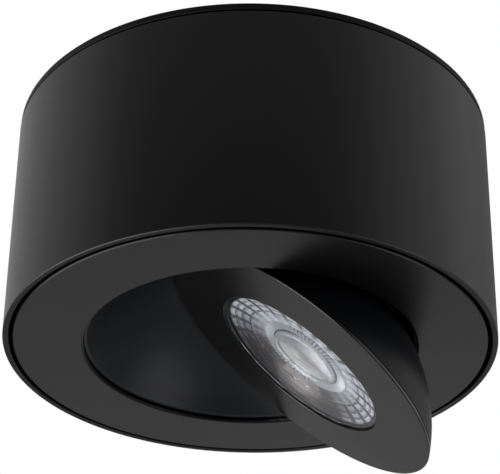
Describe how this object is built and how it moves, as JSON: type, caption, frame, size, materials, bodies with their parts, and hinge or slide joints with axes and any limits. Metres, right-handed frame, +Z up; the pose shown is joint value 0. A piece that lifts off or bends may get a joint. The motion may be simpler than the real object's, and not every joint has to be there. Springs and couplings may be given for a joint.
{
  "type": "surface mounted adjustable downlight",
  "caption": "Round drum-shaped ceiling downlight whose dome head with a recessed clear lens turns and tilts in a spherical cup behind a flat front ring.",
  "frame": {"origin": "centre of the ceiling face of the mounting plate", "axes": "+Z up into the ceiling along the drum's axis; the light leans to -X at rest"},
  "size_m": [0.12, 0.12, 0.0878],
  "materials": {
    "body_black": "satin black powder coat on aluminium",
    "cup_black": "satin black paint",
    "head_black": "satin black paint",
    "tray_steel": "zinc-plated sheet steel",
    "post_steel": "turned steel",
    "screw_steel": "zinc-plated screws",
    "driver_white": "moulded plastic",
    "terminal_white": "moulded plastic",
    "clamp_grey": "moulded plastic",
    "brass_parts": "plain brass",
    "grommet_rubber": "soft black rubber",
    "plate_black": "matt black powder coat on steel",
    "slip_nylon": "black nylon",
    "lens_clear": "clear acrylic, polished",
    "holder_black": "black moulded plastic",
    "phosphor": "unlit pale phosphor layer",
    "led_ceramic": "white ceramic base",
    "board_white": "white-faced aluminium board",
    "pad_grey": "thermal pad",
    "led_frame_white": "white moulded plastic",
    "sink_aluminium": "die-cast aluminium"
  },
  "bodies": {
    "root": {"mounting_plate": "plate_black", "cable_grommet": "grommet_rubber", "lock_studs": "screw_steel", "drum_housing": "body_black", "frame_screws": "screw_steel", "standoff_posts": "post_steel", "gear_tray": "tray_steel", "driver_case": "driver_white", "driver_lid": "driver_white", "driver_screws": "screw_steel", "terminal_block": "terminal_white", "terminal_screws": "brass_parts", "cable_clamp": "clamp_grey", "clamp_screws": "screw_steel", "earth_tag": "brass_parts", "earth_screw": "screw_steel", "lead_grommet": "grommet_rubber", "front_ring": "body_black", "stop_pin": "screw_steel", "slip_ring": "slip_nylon", "swivel_retainer": "tray_steel", "retainer_screws": "screw_steel"},
    "cup": {"swivel_cup": "cup_black"},
    "head": {"swivel_stem": "post_steel", "inner_glide": "slip_nylon", "outer_slider": "slip_nylon", "disc_spring": "post_steel", "stem_nut": "screw_steel", "head_shell": "head_black", "head_bezel": "head_black", "lens": "lens_clear", "lens_holder": "holder_black", "phosphor_disc": "phosphor", "led_base": "led_ceramic", "led_board": "board_white", "thermal_pad": "pad_grey", "led_holder": "led_frame_white", "holder_screws": "screw_steel", "heat_sink": "sink_aluminium", "heat_sink_screws": "screw_steel"}
  },
  "joints": [
    {"name": "spin", "type": "hinge", "parent": "root", "child": "cup", "pos_m": [0, 0, -0.06001], "axis": [0, 0, 1], "range_deg": [-177.5, 177.5]},
    {"name": "tilt", "type": "hinge", "parent": "cup", "child": "head", "pos_m": [0, 0, -0.07921], "axis": [0, 1, 0], "range_deg": [-37.9, 2.1]}
  ]
}
